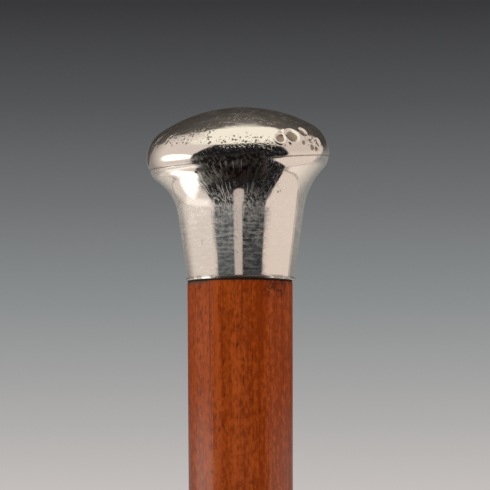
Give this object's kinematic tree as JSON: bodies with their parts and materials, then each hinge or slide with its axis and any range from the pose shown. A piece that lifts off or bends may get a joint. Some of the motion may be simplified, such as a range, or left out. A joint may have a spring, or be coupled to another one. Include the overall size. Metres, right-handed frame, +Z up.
{
  "type": "knob handle walking stick",
  "caption": "Straight walking stick: tapered cane shaft under a flared, domed silver knob, with a brass ferrule and a worn iron tip at the foot.",
  "frame": {"origin": "centre of the worn flat face of the iron tip", "axes": "+Z up the shaft's axis to the knob; the side seen in the picture faces -Y; +X is to its right"},
  "size_m": [0.0415, 0.0415, 0.9004],
  "materials": {
    "knob_crown": "worn polished silver",
    "knob_skirt": "worn polished silver",
    "seam_solder": "dull tin solder",
    "knob_pitch": "hardened black pitch",
    "knob_core": "turned beech, unfinished",
    "neck_dowel": "hardwood dowel, unfinished",
    "neck_cement": "hardened black pitch",
    "shaft": "varnished reddish-brown cane",
    "ferrule_sleeve": "worn brass",
    "ferrule_cement": "dark shellac",
    "ferrule_pins": "filed brass",
    "ferrule_braze": "pale brazing brass",
    "ferrule_tip": "worn iron"
  },
  "bodies": {
    "root": {"knob_crown": "knob_crown", "knob_skirt": "knob_skirt", "seam_solder": "seam_solder", "knob_pitch": "knob_pitch", "knob_core": "knob_core", "neck_dowel": "neck_dowel", "neck_cement": "neck_cement", "shaft": "shaft", "ferrule_sleeve": "ferrule_sleeve", "ferrule_cement": "ferrule_cement", "ferrule_pins": "ferrule_pins", "ferrule_braze": "ferrule_braze", "ferrule_tip": "ferrule_tip"}
  },
  "joints": []
}
